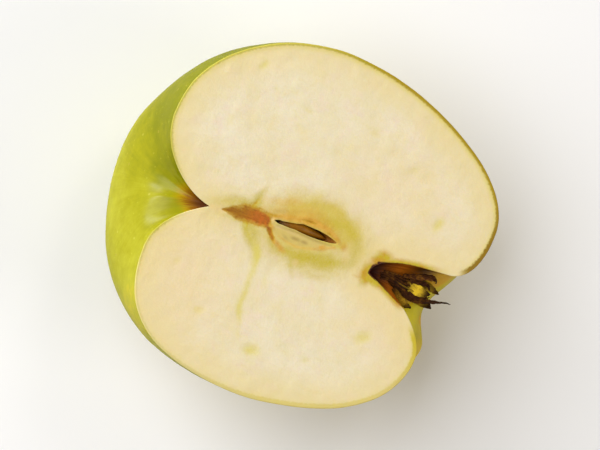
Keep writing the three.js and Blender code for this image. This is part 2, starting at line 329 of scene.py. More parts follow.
# and the flesh along the calyx tube is stained, most at its inner end
along_tube = rim_value(smooth(rim_station, 3.95, 4.35), face_xy)
tube_end = rim_value(smooth(rim_station, 4.62, 4.95), face_xy)


# ---- features of the cut face, each from a few named places (mm)
def curve_through(points, n=60):
    """A smooth line through a few places."""
    p = np.array(points, float)
    p = np.concatenate([[2 * p[0] - p[1]], p, [2 * p[-1] - p[-2]]])
    out = []
    m = len(p) - 3
    for t in np.linspace(0, m, n):
        k = min(int(t), m - 1)
        f = t - k
        a, b, c, d = p[k : k + 4]
        out.append(0.5 * (2 * b + (c - a) * f + (2 * a - 5 * b + 4 * c - d) * f * f + (3 * b - a - 3 * c + d) * f**3))
    return np.array(out)


def stroke(xy, points, half, strength=1.0, soft=1.0, wander=0.0, seed=1):
    """How strongly a line through some places marks each point. half and strength may be (start, middle, end)."""
    c = curve_through(points)
    box = (xy > c.min(0) - 4).all(1) & (xy < c.max(0) + 4).all(1)
    out = np.zeros(len(xy))
    p = xy[box]
    if wander:
        q = np.c_[p, np.zeros(len(p))]
        p = p + wander * np.stack([noise(q, 1.7, seed), noise(q, 1.7, seed + 1)], -1)
    if not len(p):
        return out
    d2 = ((p[:, None, :] - c[None]) ** 2).sum(-1)
    k = d2.argmin(1)
    d, t = np.sqrt(d2[np.arange(len(p)), k]), k / (len(c) - 1)
    pick = lambda v: np.interp(t, np.linspace(0, 1, len(v)), v) if isinstance(v, (tuple, list)) else v
    h = pick(half)
    out[box] = pick(strength) * (1 - smooth(d, h * (1 - soft), h * (1 + 0.5 * soft)))
    return out


def patch(xy, centre, half, turn=0, soft=0.5, ragged=0.0, size=2.0, seed=1):
    """An oval area with a soft, ragged edge."""
    c, s = math.cos(math.radians(turn)), math.sin(math.radians(turn))
    d = xy - np.array(centre)
    q = np.stack([(d[:, 0] * c + d[:, 1] * s) / half[0], (-d[:, 0] * s + d[:, 1] * c) / half[1]], -1)
    r = np.sqrt((q**2).sum(1)) + ragged * noise(np.c_[xy, np.zeros(len(xy))], size, seed, 2)
    return 1 - smooth(r, 1 - soft, 1 + soft * 0.6)


def masks(xy):
    """How strongly each feature of the cut face marks each of its points, 0 to 1."""
    m = {}
    top = np.maximum.reduce
    # browned streak from the foot of the stem to the chamber, wide and ragged at its inner end
    m["stain"] = top([
        stroke(xy, [(-15.6, 0.3), (-13.2, 0.9), (-10.8, 1.5), (-8.4, 1.7), (-6.2, 1.7)], (0.3, 1.1, 1.85, 1.85, 1.35), (0.7, 1.0, 1.0, 1.0), 0.9, 0.3, 41),
        stroke(xy, [(-10.2, 2.9), (-9.5, 4.4), (-8.9, 6.2)], (0.9, 0.5, 0.2), (0.5, 0.25, 0.0), 1.0, 0.3, 43),
        stroke(xy, [(-5.6, 0.9), (-4.7, 0.1), (-3.6, -0.9), (-3.1, -1.5)], (0.45, 0.68, 0.60, 0.3), (0.6, 0.85, 0.75, 0.3), 0.9, 0.2, 44),
        stroke(xy, [(-7.6, 2.6), (-6.0, 3.1), (-4.6, 3.3), (-3.0, 3.7)], (0.5, 0.45, 0.3), (0.6, 0.4, 0.1), 0.9, 0.2, 45),
        stroke(xy, [(1.0, 4.55), (2.8, 4.75), (4.2, 4.8)], (0.25, 0.32, 0.2), (0.3, 0.6, 0.3), 0.9, 0.15, 46),
        stroke(xy, [(6.2, 4.15), (7.6, 4.0), (9.4, 3.4)], (0.2, 0.3, 0.2), (0.2, 0.45, 0.2), 0.9, 0.15, 47),
    ])
    # orange-tan lining of the chamber wall where the knife went through it
    m["tan"] = np.clip(top([
        stroke(xy, [(-6.0, 2.8), (-3.4, 3.4), (-1.2, 3.9), (1.5, 4.7), (4.0, 4.9), (6.6, 4.4), (9.4, 3.5), (10.6, 2.9)], (0.6, 0.9, 1.1, 1.3, 1.3, 1.0, 0.7, 0.4), (0.7, 0.8, 0.9, 1.0, 1.0, 0.9, 0.85, 0.4), 0.9, 0.3, 51),
        stroke(xy, [(-3.9, -0.9), (-2.6, -1.6), (-1.2, -2.3), (0.0, -2.6)], (0.5, 0.6, 0.65, 0.4), (0.8, 0.8, 0.85, 0.3), 0.9, 0.2, 52),
        stroke(xy, [(-8.4, 4.9), (-5.2, 5.9), (-2.0, 6.9), (0.8, 7.2)], (0.9, 1.2, 1.2, 0.8), (0.15, 0.32, 0.36, 0.2), 1.0, 0.4, 53),
        stroke(xy, [(-7.4, 3.4), (-3.0, 4.6), (1.5, 5.8), (5.0, 5.6), (9.0, 4.4)], (0.9, 1.5, 1.7, 1.6, 1.0), (0.3, 0.45, 0.5, 0.45, 0.2), 1.0, 0.4, 56),
        stroke(xy, [(0.4, 6.2), (2.6, 6.3), (4.4, 6.2)], (0.4, 0.6, 0.4), (0.3, 0.75, 0.3), 1.0, 0.2, 57),
        stroke(xy, [(-2.6, -0.2), (0.2, -0.8), (3.0, -0.7), (5.6, 0.1), (7.6, 1.0), (9.4, 2.0)], (0.25, 0.3, 0.35, 0.3), (0.3, 0.5, 0.45, 0.6, 0.7), 0.9, 0.15, 54),
        stroke(xy, [(-6.0, 0.9), (-5.6, 1.9), (-5.0, 2.9), (-3.8, 3.3)], 0.35, (0.6, 0.7, 0.8, 0.8), 0.9, 0.15, 55),
        patch(xy, (7.1, 0.95), (1.0, 0.6), 20, 0.8) * 0.95,
        patch(xy, (11.3, 2.7), (0.8, 0.9), 0, 0.8) * 0.55,
        patch(xy, (-4.6, 1.0), (0.8, 0.5), -30, 0.8) * 0.8,
    ]), 0, 1)
    # yellow-green strands: the core line, and the strands round the chamber
    m["line"] = top([
        stroke(xy, [(-7.6, -2.6), (-5.9, -4.2), (-5.3, -5.2), (-5.1, -8.0), (-4.9, -12.5), (-4.7, -16.0), (-3.9, -18.4), (-2.6, -22.5)],
               (0.9, 1.0, 0.95, 0.8, 0.8, 0.75, 0.6, 0.5), (0.2, 0.8, 0.9, 0.6, 0.6, 0.8, 0.4, 0.0), 1.0, 0.3, 61),
        stroke(xy, [(-5.4, -4.6), (-5.2, -9.0), (-4.9, -14.0), (-4.6, -16.6)], 0.3, (0.5, 0.3, 0.4, 0.6), 0.9, 0.3, 60),
        stroke(xy, [(-2.2, -7.0), (-1.6, -9.6), (-0.6, -12.0)], 0.6, (0.0, 0.3, 0.0), 1.0, 0.4, 62),
    ])
    m["strand"] = top([
        stroke(xy, [(-9.8, -0.2), (-8.7, -1.9), (-7.3, -3.6), (-6.2, -5.0), (-5.4, -8.0)], (1.5, 1.4, 1.2, 1.0, 0.8), (0.9, 0.8, 0.6, 0.3, 0.0), 1.0, 0.4, 61),
        stroke(xy, [(-2.4, -3.0), (0.6, -2.6), (3.4, -2.6), (6.5, -2.0), (9.5, -1.1), (12.4, -0.6), (14.0, 0.6), (14.2, 3.0), (12.6, 5.4), (10.2, 6.8), (8.0, 7.4)],
               (1.0, 1.4, 1.9, 1.9, 1.9, 1.6, 1.4, 1.5, 1.5, 1.1, 0.8), (0.5, 0.7, 0.85, 0.85, 0.9, 0.6, 0.4, 0.4, 0.5, 0.45, 0.2), 1.0, 0.5, 63),
        stroke(xy, [(1.0, -3.0), (2.2, -4.6), (3.4, -6.6)], (0.9, 0.8, 0.5), (0.6, 0.5, 0.1), 1.0, 0.4, 64),
        stroke(xy, [(3.2, -5.2), (6.5, -5.0), (9.6, -4.2), (12.6, -2.4)], 1.0, (0.1, 0.3, 0.3, 0.1), 1.0, 0.4, 65),
        stroke(xy, [(-10.0, 2.6), (-9.2, 5.0), (-8.6, 8.2)], (1.9, 1.1, 0.5), (0.9, 0.75, 0.1), 1.0, 0.4, 66),
        stroke(xy, [(-18.4, 1.0), (-15.4, 2.2), (-12.2, 3.2), (-10.4, 3.4)], (1.0, 1.3, 1.3, 0.9), (0.15, 0.4, 0.6, 0.6), 1.0, 0.4, 67),
        stroke(xy, [(-9.8, -0.4), (-8.1, -1.1), (-6.8, -2.6), (-5.8, -5.0)], (1.5, 1.5, 1.1), (0.75, 0.6, 0.2), 1.0, 0.4, 68),
        stroke(xy, [(5.0, 5.9), (8.0, 6.0), (10.8, 7.0)], 1.2, (0.3, 0.6, 0.3), 1.0, 0.4, 69),
        stroke(xy, [(8.8, 6.4), (10.4, 6.8), (11.6, 6.4)], 0.6, (0.2, 0.55, 0.2), 1.0, 0.3, 59),
        stroke(xy, [(-4.2, -0.4), (-3.0, -2.2), (-0.8, -3.0)], 0.8, (0.3, 0.6, 0.4), 1.0, 0.3, 58),
        stroke(xy, [(-16.6, -0.6), (-13.4, -0.4), (-11.2, -0.2)], 0.5, (0.1, 0.35, 0.4), 1.0, 0.2, 70),
    ])
    # yellow tinge over the chamber and round the core
    m["tinge"] = np.clip(
        1.0 * patch(xy, (4.4, 6.4), (7.4, 4.4), -6, 0.7, 0.22, 3.4, 71)
        + 0.74 * patch(xy, (11.0, 4.6), (6.4, 5.0), -20, 0.8, 0.2, 3.4, 72)
        + 0.60 * patch(xy, (3.6, -2.6), (10.5, 3.6), 4, 0.9, 0.2, 3.4, 73)
        + 0.50 * patch(xy, (-6.0, 2.8), (9.5, 5.2), 8, 0.9, 0.2, 3.4, 74)
        + 0.40 * patch(xy, (0.0, 2.4), (9.0, 5.0), 8, 0.6, 0.1, 3.4, 77)
        + 0.25 * patch(xy, (-16.0, 1.0), (6.0, 3.0), 8, 0.9, 0.2, 3.4, 75), 0, 1)
    # warmer flesh in the small lobe's stem shoulder, and below the calyx end
    m["peach"] = np.clip(patch(xy, (-20.0, -15.0), (13.0, 14.0), 20, 0.9, 0.2, 7.0, 31) + patch(xy, (26.0, -4.0), (13.0, 12.0), 0, 0.9, 0.2, 7.0, 32) + 0.6 * patch(xy, (20.0, 16.0), (14.0, 12.0), 0, 0.9, 0.2, 7.0, 33), 0, 1)
    # pale horny lining of the chamber, cut across
    m["lining"] = np.clip(patch(xy, (1.4, 0.75), (6.6, 1.6), 2, 0.3, 0.06, 2.0, 81) + patch(xy, (-4.9, 1.9), (0.95, 0.8), 10, 0.4, 0.05, 1.0, 82), 0, 1)
    m["pale"] = top([patch(xy, (-5.0, 2.2), (0.75, 0.65), 0, 0.9) * 0.75, patch(xy, (-2.9, 1.5), (1.1, 0.4), 10, 0.7) * 0.8, patch(xy, (0.2, 1.35), (2.8, 0.3), 0, 0.8) * 0.5,
                     patch(xy, (2.9, -3.7), (0.8, 0.8), 0, 0.8) * 0.6, patch(xy, (12.4, 1.0), (1.0, 1.6), 0, 0.9) * 0.4, stroke(xy, [(-17.9, 0.05), (-15.6, 0.2)], 0.7, 0.6, 0.9)])
    # greyish spots in the lining
    m["shade"] = top([patch(xy, (1.0, 0.55), (1.1, 0.38), 4, 0.9, 0.2, 0.8, 83), patch(xy, (3.1, 0.55), (0.9, 0.34), 0, 0.9, 0.2, 0.8, 84) * 0.8,
                      patch(xy, (-1.0, 0.1), (1.0, 0.3), -20, 0.9, 0.2, 0.8, 85) * 0.5, patch(xy, (-4.0, 4.4), (1.4, 0.5), 20, 0.9, 0.2, 0.8, 86) * 0.4,
                      stroke(xy, [(-4.6, 1.5), (-2.0, 1.75), (2.0, 1.85), (6.0, 1.75), (8.6, 2.0)], 0.28, (0.3, 0.45, 0.6, 0.6, 0.4), 1.0, 0.1, 87)])
    # small bundles cut across, in a wide ring round the core
    m["dot"] = top([patch(xy, c, (h, h * 0.62), a, 0.9, 0.12, 0.8, 88) * s for c, h, a, s in (
        ((-12.6, -19.4), 1.3, 20, 0.6), ((0.8, -22.8), 1.8, 12, 0.9), ((22.2, -12.3), 2.0, 25, 0.8), ((28.6, 14.0), 1.6, 70, 0.8), ((-18.6, 29.3), 1.2, 60, 0.7),
        ((-6.0, 24.5), 1.0, 0, 0.35), ((8.5, 25.5), 1.1, 10, 0.35), ((19.5, 22.0), 1.2, 40, 0.35), ((-21.0, 17.0), 1.1, 80, 0.3), ((12.5, -20.6), 1.0, 15, 0.4), ((-20.5, -12.0), 1.0, 60, 0.35))])
    # stained flesh round the inner end of the calyx tube and along it
    m["glow"] = 1.5 * top([
        patch(xy, (20.0, 3.3), (2.2, 1.6), 30, 0.9, 0.15, 1.0, 91), patch(xy, (18.2, -0.2), (1.7, 2.4), -10, 0.9, 0.15, 1.0, 92),
        patch(xy, (20.2, -1.3), (2.4, 0.9), -12, 0.9, 0.15, 1.0, 93) * 0.9, stroke(xy, [(15.4, -1.7), (17.4, -1.4), (19.0, -0.9)], (0.3, 0.6, 0.8), (0.1, 0.6, 0.9), 1.0, 0.2, 94),
        along_tube * (1 - smooth(to_rim, 0.15, 1.4)) * 0.72])
    m["glow"] = m["glow"].clip(0, 1)
    m["char"] = top([patch(xy, (19.0, 1.1), (0.8, 1.3), -22, 0.7, 0.12, 0.8, 97), stroke(xy, [(19.6, 2.4), (21.4, 3.0), (23.0, 3.4)], (0.5, 0.45, 0.3), (0.9, 0.8, 0.2), 0.9, 0.15, 98), tube_end * (1 - smooth(to_rim, 0.08, 0.5)), along_tube * (1 - smooth(to_rim, 0.02, 0.30)) * 0.55])
    return m


face_masks = masks(face_xy)
face_masks["peel"] = peel
flat3 = np.c_[face_xy, np.zeros(len(face_xy))]
settle = smooth(to_rim, 0.0, 1.2)
knife = 0.05 * noise(flat3 * np.array([0.25, 1, 1]), 5.0, 101) + 0.035 * noise(flat3, 2.3, 102) + 0.018 * noise(flat3, 0.9, 103)
relief = settle * (
    knife
    - 0.20 * face_masks["stain"] * (0.85 + 0.25 * noise(flat3 * np.array([0.35, 1, 1]), 0.7, 104))
    - 0.03 * face_masks["strand"]
    - 0.14 * face_masks["lining"]
    + 0.06 * face_masks["tan"]
    - 0.06 * face_masks["dot"]
)
relief *= smooth(to_hole, 0.0, 0.5) * 0.9 + 0.1
relief += 0.07 * bump(to_hole, 0.20, 0.22)
free = slice(len(rim) + len(hole), None)  # the rim and the hole's outline stay where they are
face_points = np.c_[face_xy, relief][free]

# ------------------------------------------------------------------ one closed body
n_skin = len(skin_points)
hole_start = n_skin
hole_points = np.c_[hole, np.zeros(len(hole))]
face_start = hole_start + len(hole)
inner_start = face_start + len(face_points)
flat_to_body = np.concatenate([np.array(rim_ids), np.arange(hole_start, face_start), np.arange(face_start, inner_start)])
cut_faces = flat_to_body[source[tri]]

chamber_index = np.zeros((K + 1, J + 1), int)
for k in range(K + 1):
    chamber_index[k, 0] = hole_start + k
    if 0 < k < K:
        chamber_index[k, J] = hole_start + K + (K - k)
    else:
        chamber_index[k, :] = hole_start + k
inner = []
for k in range(1, K):
    for j in range(1, J):
        chamber_index[k, j] = inner_start + len(inner)
        inner.append(chamber[k, j])
chamber_faces = []
for k in range(K):
    for j in range(J):
        a, b, c, d = chamber_index[k, j], chamber_index[k + 1, j], chamber_index[k + 1, j + 1], chamber_index[k, j + 1]
        ring = [a]
        for v in (b, c, d):
            if v not in ring:
                ring.append(v)
        if len(ring) > 2:
            chamber_faces.append(tuple(ring))

points = np.concatenate([skin_points, hole_points, face_points, np.array(inner)])
faces = [tuple(f) for f in skin_faces] + [tuple(f) for f in cut_faces] + chamber_faces
which = np.concatenate([np.zeros(len(skin_faces), int), np.ones(len(cut_faces), int), np.full(len(chamber_faces), 2)])
row_points = to_row(points)
row_points[:, 2] = row_points[:, 2].clip(0)  # the flat that it rests on


def make_object(name, pts, fcs, materials, which=None):
    mesh = bpy.data.meshes.new(name)
    mesh.from_pydata([tuple(p) for p in pts], [], [tuple(int(v) for v in f) for f in fcs])
    mesh.validate()
    for m in materials:
        mesh.materials.append(m)
    if which is not None:
        mesh.polygons.foreach_set("material_index", np.asarray(which, np.int32))
    mesh.polygons.foreach_set("use_smooth", np.ones(len(mesh.polygons), bool))
    mesh.update()
    ob = bpy.data.objects.new(name, mesh)
    bpy.context.scene.collection.objects.link(ob)
    return ob


def give(ob, name, values):
    """A number (n,) or a vector (n, 3) at each point, for the materials."""
    values = np.asarray(values, np.float32)
    if values.ndim == 1:
        ob.data.attributes.new(name, "FLOAT", "POINT").data.foreach_set("value", values)
    else:
        ob.data.attributes.new(name, "FLOAT_VECTOR", "POINT").data.foreach_set("vector", values.ravel())


# ------------------------------------------------------------------ materials: a few short words for nodes
class Look:
    def __init__(self, name):
        self.material = bpy.data.materials.new(name)
        self.material.use_nodes = True
        self.tree = self.material.node_tree
        self.shader = self.tree.nodes["Principled BSDF"]
        self.output = self.tree.nodes["Material Output"]

    def node(self, kind, inputs=(), **props):
        n = self.tree.nodes.new(kind)
        for k, v in props.items():
            setattr(n, k, v)
        for k, v in dict(inputs).items():
            self.into(n.inputs[k], v)
        return n

    def into(self, socket, v):
        if isinstance(v, bpy.types.NodeSocket):
            self.tree.links.new(v, socket)
        elif v is not None:
            if isinstance(v, (tuple, list)) and len(v) == 3 and socket.type == "RGBA":
                v = (*v, 1.0)
            socket.default_value = v

    def number(self, name):
        return self.node("ShaderNodeAttribute", attribute_name=name).outputs["Fac"]

    def place(self, name="fruit"):
        return self.node("ShaderNodeAttribute", attribute_name=name).outputs["Vector"]

    def scaled(self, vector, scale, shift=(0, 0, 0)):
        return self.node("ShaderNodeMapping", {"Vector": vector, "Scale": scale, "Location": shift}).outputs[0]

    def noise(self, vector, size, detail=2.0, rough=0.5, warp=0.0, shift=None):
        v = vector if shift is None else self.scaled(vector, (1, 1, 1), shift)
        n = self.node("ShaderNodeTexNoise", {"Vector": v, "Scale": 1 / size, "Detail": detail, "Roughness": rough, "Distortion": warp})
        return n.outputs["Fac"]

    def cells(self, vector, size, out="Distance", feature="F1", randomness=1.0):
        n = self.node("ShaderNodeTexVoronoi", {"Vector": vector, "Scale": 1 / size, "Randomness": randomness}, feature=feature)
        return n.outputs[out]

    def axis(self, vector, i):
        return self.node("ShaderNodeSeparateXYZ", {"Vector": vector}).outputs[i]

    def math(self, op, a, b=None, c=None, clamp=False):
        n = self.node("ShaderNodeMath", operation=op, use_clamp=clamp)
        for i, v in enumerate((a, b, c)):
            if v is not None:
                self.into(n.inputs[i], v)
        return n.outputs[0]

    def step(self, v, lo, hi, a=0.0, b=1.0):
        n = self.node("ShaderNodeMapRange", {"Value": v, "From Min": lo, "From Max": hi, "To Min": a, "To Max": b}, interpolation_type="SMOOTHSTEP")
        return n.outputs["Result"]

    def mix(self, fac, a, b, blend="MIX"):
        n = self.node("ShaderNodeMix", data_type="RGBA", blend_type=blend, clamp_factor=True)
        self.into(n.inputs[0], fac)
        self.into(n.inputs[6], a)
        self.into(n.inputs[7], b)
        return n.outputs[2]

    def ramp(self, v, stops):
        n = self.node("ShaderNodeValToRGB", {"Fac": v})
        el = n.color_ramp.elements
        el[0].position, el[0].color = stops[0][0], (*stops[0][1], 1)
        el[1].position, el[1].color = stops[-1][0], (*stops[-1][1], 1)
        for pos, colour in stops[1:-1]:
            e = el.new(pos)
            e.color = (*colour, 1)
        return n.outputs["Color"]

    def relief(self, height, strength, distance=0.0002, normal=None):
        n = self.node("ShaderNodeBump", {"Height": height, "Strength": strength, "Distance": distance})
        if normal is not None:
            self.into(n.inputs["Normal"], normal)
        return n.outputs["Normal"]

    def set(self, **values):
        for k, v in values.items():
            self.into(self.shader.inputs[k.replace("_", " ")], v)


def srgb(r, g, b):
    """A colour as it is seen, 0 to 255, as light."""
    return tuple(((c / 255 + 0.055) / 1.055) ** 2.4 if c > 10 else c / 255 / 12.92 for c in (r, g, b))


def skin_look():
    m = Look("skin")
    p = m.place()
    streak = m.place("streak")
    tone_and_painted_shading, hollow, pipe, gold = m.number("tone_and_painted_shading"), m.number("hollow"), m.number("pipe"), m.number("gold")
    broad = m.noise(p, 16, 2, 0.5, 0.3)
    blotch = m.noise(p, 5.5, 3, 0.55, 0.5, shift=(2, 6, 1))
    fine = m.noise(streak, 1.0, 3, 0.6, 0.4)
    ray = m.noise(streak, 0.35, 2, 0.6, 0.2, shift=(4, 9, 2))
    tone = m.math("ADD", tone_and_painted_shading, m.math("MULTIPLY_ADD", broad, 0.5, -0.25))
    tone = m.math("ADD", tone, m.math("MULTIPLY_ADD", blotch, 0.30, -0.15))
    tone = m.math("ADD", tone, m.math("MULTIPLY_ADD", m.noise(p, 1.7, 3, 0.6, 0.5, shift=(8, 1, 5)), 0.30, -0.15))
    tone = m.math("ADD", tone, m.math("MULTIPLY_ADD", fine, 0.22, -0.11), clamp=True)
    colour = m.ramp(tone, [
        (0.0, srgb(118, 119, 0)), (0.28, srgb(146, 142, 6)), (0.52, srgb(165, 161, 36)), (0.78, srgb(200, 180, 38)), (1.0, srgb(222, 191, 46))])
    # breathing pores: some pale, some with a brown middle, each in a faint green ring
    cell = m.node("ShaderNodeTexVoronoi", {"Vector": m.scaled(p, (1, 1, 1), (3, 1, 7)), "Scale": 1 / 2.9})
    pores, chance = cell.outputs["Distance"], m.math("FRACT", m.math("MULTIPLY", m.node("ShaderNodeSeparateColor", {"Color": cell.outputs["Color"]}).outputs[0], 7.3))
    dot = m.step(pores, 0.13, 0.06)
    ring = m.math("MULTIPLY", m.step(pores, 0.34, 0.10), m.step(m.noise(p, 4.0, 2, 0.5, shift=(5, 3, 8)), 0.4, 0.65, 0.0, 0.24))
    colour = m.mix(ring, colour, srgb(148, 156, 6))
    colour = m.mix(m.math("MULTIPLY", dot, 0.26), colour, srgb(210, 200, 104))
    colour = m.mix(m.math("MULTIPLY", m.step(pores, 0.085, 0.04), m.step(chance, 0.35, 0.45, 0.0, 0.65)), colour, srgb(132, 96, 20))
    fleck = m.step(m.cells(p, 1.5), 0.15, 0.07)
    colour = m.mix(m.math("MULTIPLY", fleck, 0.16), colour, srgb(214, 206, 90))
    colour = m.mix(m.step(ray, 0.60, 0.80, 0.0, 0.35), colour, srgb(142, 150, 4))
    # stem cavity: greener on its way down, with thin brown rays, then russet
    colour = m.mix(m.step(hollow, 0.15, 0.75, 0.0, 0.6), colour, srgb(132, 132, 4))
    thin = m.math("MULTIPLY", m.step(ray, 0.58, 0.70), m.step(hollow, 0.16, 0.42))
    colour = m.mix(m.math("MULTIPLY", thin, 0.55), colour, srgb(136, 98, 22))
    rays = m.math("MULTIPLY_ADD", fine, 0.55, m.math("SUBTRACT", hollow, 0.30))
    colour = m.mix(m.step(rays, 0.56, 0.76, 0.0, 0.8), colour, srgb(172, 136, 8))
    colour = m.mix(m.step(rays, 0.68, 0.84, 0.0, 0.92), colour, srgb(124, 72, 6))
    colour = m.mix(m.step(hollow, 0.86, 0.99, 0.0, 0.9), colour, srgb(78, 36, 12))
    # calyx basin and tube: clear yellow, then golden, then brown and nearly black; the clear yellow is partly painted
    # light, the nearly black is painted shade
    wall = m.math("ADD", pipe, m.math("MULTIPLY_ADD", fine, 0.16, -0.08))
    # partly painted light: a brighter, clearer yellow on the basin's rim, which lies in shade
    colour = m.mix(m.step(pipe, 0.0, 0.20, 0.0, 0.8), colour, srgb(230, 218, 4))
    colour = m.mix(m.step(m.math("ADD", wall, gold), 0.16, 0.36, 0.0, 0.9), colour, srgb(220, 166, 30))
    colour = m.mix(m.step(wall, 0.40, 0.60), colour, srgb(182, 102, 20))
    # painted shade: nearly black deep in the tube
    colour = m.mix(m.step(wall, 0.70, 0.97), colour, srgb(48, 14, 14))
    # painted shade: a near-black patch on the tube wall under the big lobe's rim
    colour = m.mix(m.number("painted_tube_shade"), colour, srgb(50, 32, 2))
    m.set(Base_Color=colour, Roughness=m.step(m.math("ADD", m.math("MAXIMUM", hollow, pipe), m.math("MULTIPLY", fine, 0.2)), 0.3, 0.9, 0.5, 0.85),
          IOR=1.06, Coat_Weight=0.11, Coat_Roughness=0.30, Coat_IOR=2.2, Subsurface_Weight=0.1, Subsurface_Scale=0.0008, Subsurface_Radius=(1.2, 1.0, 0.3))
    height = m.math("ADD", m.math("MULTIPLY", m.noise(p, 0.55, 2, 0.5), 0.5), m.math("MULTIPLY", dot, 0.35))
    height = m.math("ADD", height, m.math("MULTIPLY", fine, 0.2))
    m.set(Normal=m.relief(height, 0.2, 0.0001))
    return m.material


def flesh_look():
    m = Look("flesh")
    p = m.place()
    edge = m.number("edge")
    n = {k: m.number(k) for k in ("stain", "tan", "strand", "line", "peach", "tinge", "lining", "pale", "shade", "dot", "glow", "char")}
    broad = m.noise(p, 9.0, 3, 0.5, 0.2)
    mottle = m.noise(p, 2.6, 3, 0.55, 0.3, shift=(9, 2, 4))
    grain = m.noise(p, 0.55, 3, 0.6)
    fine = m.noise(p, 0.30, 2, 0.6, shift=(1, 8, 3))
    cell = m.cells(p, 0.42)
    fibre = m.noise(m.scaled(p, (0.35, 1, 1)), 1.6, 2, 0.6, 0.6, shift=(5, 5, 5))
    colour = m.ramp(broad, [(0.30, srgb(236, 223, 184)), (0.5, srgb(239, 228, 196)), (0.70, srgb(242, 232, 206))])
    colour = m.mix(m.step(mottle, 0.45, 0.8, 0.0, 0.5), colour, srgb(235, 221, 166))
    colour = m.mix(m.step(m.noise(p, 3.4, 2, 0.5, 0.4, shift=(3, 7, 2)), 0.5, 0.75, 0.0, 0.6), colour, srgb(240, 222, 202))
    colour = m.mix(m.step(fibre, 0.5, 0.8, 0.0, 0.35), colour, srgb(232, 220, 164))
    colour = m.mix(m.math("MULTIPLY", n["peach"], 0.55), colour, srgb(240, 216, 164))
    colour = m.mix(m.step(grain, 0.35, 0.75, 0.0, 0.16), colour, srgb(226, 209, 152))
    # under the skin the flesh is yellower, and the skin itself is a thin green line
    near = m.math("ADD", edge, m.math("MULTIPLY_ADD", mottle, 2.4, -1.2))
    colour = m.mix(m.step(near, 8.5, 1.5, 0.0, 0.55), colour, srgb(235, 216, 150))
    near = m.math("ADD", edge, m.math("MULTIPLY_ADD", grain, 0.7, -0.35))
    peel, across = m.number("peel"), m.step(m.axis(p, 0), -22.0, 14.0)
    low = m.step(m.axis(p, 1), -20.0, -6.0, 0.40, 1.0)  # fainter along the small lobe's side
    peel = m.math("MULTIPLY", peel, low)
    colour = m.mix(m.math("MULTIPLY", peel, m.math("MULTIPLY", m.step(near, 1.9, 0.4), m.step(across, 0.0, 1.0, 0.5, 0.8))), colour, srgb(222, 207, 100))
    line = m.step(m.math("SUBTRACT", near, m.math("MULTIPLY", across, m.step(m.axis(p, 1), 22.0, 10.0, 0.22, 0.48))), 0.70, 0.20)
    # the peel line's colour: yellow-green at the stem end, olive-brown towards the calyx end's upper side, there partly
    # the skin's own colour and partly painted shade
    colour = m.mix(m.math("MULTIPLY", peel, m.math("MULTIPLY", line, m.step(across, 0.0, 1.0, 0.75, 1.0))), colour, m.mix(across, srgb(176, 170, 24), m.mix(m.step(m.axis(p, 1), -8.0, 8.0), srgb(206, 186, 34), m.mix(m.step(m.axis(p, 1), 12.0, 26.0), srgb(148, 116, 8), srgb(172, 146, 18)))))

    def rough(k, amount):
        wobble = m.math("MULTIPLY_ADD", m.math("ADD", grain, fine), 0.5, -0.5)
        return m.math("ADD", n[k], m.math("MULTIPLY", wobble, m.math("MULTIPLY", m.step(n[k], 0.0, 0.5), amount)), clamp=True)

    colour = m.mix(m.math("MULTIPLY", rough("tinge", 0.5), 0.90), colour, srgb(212, 190, 72))
    colour = m.mix(m.math("MULTIPLY", n["lining"], 0.85), colour, srgb(214, 191, 108))
    colour = m.mix(m.math("MULTIPLY", rough("strand", 0.7), 0.92), colour, srgb(198, 180, 20))
    colour = m.mix(m.math("MULTIPLY", rough("line", 0.4), 0.8), colour, srgb(222, 208, 70))
    colour = m.mix(m.math("MULTIPLY", rough("tan", 0.9), 0.85), colour, m.mix(m.step(mottle, 0.35, 0.65), srgb(204, 142, 30), srgb(226, 174, 70)))
    colour = m.mix(m.math("MULTIPLY", n["pale"], 0.8), colour, srgb(232, 204, 142))
    colour = m.mix(m.math("MULTIPLY", n["shade"], 0.7), colour, srgb(166, 138, 74))
    colour = m.mix(m.math("MULTIPLY", rough("dot", 0.5), 0.65), colour, srgb(222, 208, 74))
    colour = m.mix(m.math("MULTIPLY", rough("glow", 0.5), 0.95), colour, m.mix(m.step(mottle, 0.35, 0.65), srgb(202, 152, 8), srgb(200, 180, 12)))
    # the browned streak frays along the core: golden at its tail, redder where it meets the chamber
    drawn = m.noise(m.scaled(p, (0.22, 1, 1)), 0.45, 3, 0.6, 0.2, shift=(7, 2, 2))
    stain = m.math("ADD", n["stain"], m.math("MULTIPLY", m.math("MULTIPLY_ADD", m.math("ADD", drawn, grain), 0.55, -0.55), m.step(n["stain"], 0.0, 0.4)), clamp=True)
    brown = m.mix(m.step(m.axis(p, 0), -12.5, -7.0), srgb(166, 112, 10), srgb(196, 104, 26))
    brown = m.mix(m.step(m.axis(p, 0), -6.0, -4.8), brown, srgb(180, 112, 20))
    brown = m.mix(m.step(m.noise(p, 1.3, 3, 0.6, 0.3), 0.45, 0.7, 0.0, 0.6), brown, srgb(152, 92, 10))
    brown = m.mix(m.step(drawn, 0.50, 0.70, 0.0, 0.5), brown, srgb(130, 74, 6))
    colour = m.mix(m.step(stain, 0.04, 0.45, 0.0, 0.85), colour, srgb(196, 156, 34))
    colour = m.mix(m.step(stain, 0.25, 0.90, 0.0, 0.97), colour, brown)
    colour = m.mix(m.step(rough("char", 0.8), 0.15, 0.75), colour, m.mix(m.step(fine, 0.4, 0.6), srgb(46, 12, 10), srgb(96, 42, 8)))
    m.set(Base_Color=colour, Roughness=m.step(grain, 0.3, 0.7, 0.36, 0.55), IOR=1.36, Subsurface_Weight=0.25, Subsurface_Scale=0.0006, Subsurface_Radius=(1.5, 1.15, 0.6))
    height = m.math("ADD", m.math("MULTIPLY", cell, 0.6), m.math("MULTIPLY", grain, 0.8))
    height = m.math("ADD", height, m.math("MULTIPLY", fibre, 0.5))
    m.set(Normal=m.relief(height, 0.2, 0.00015))
    return m.material


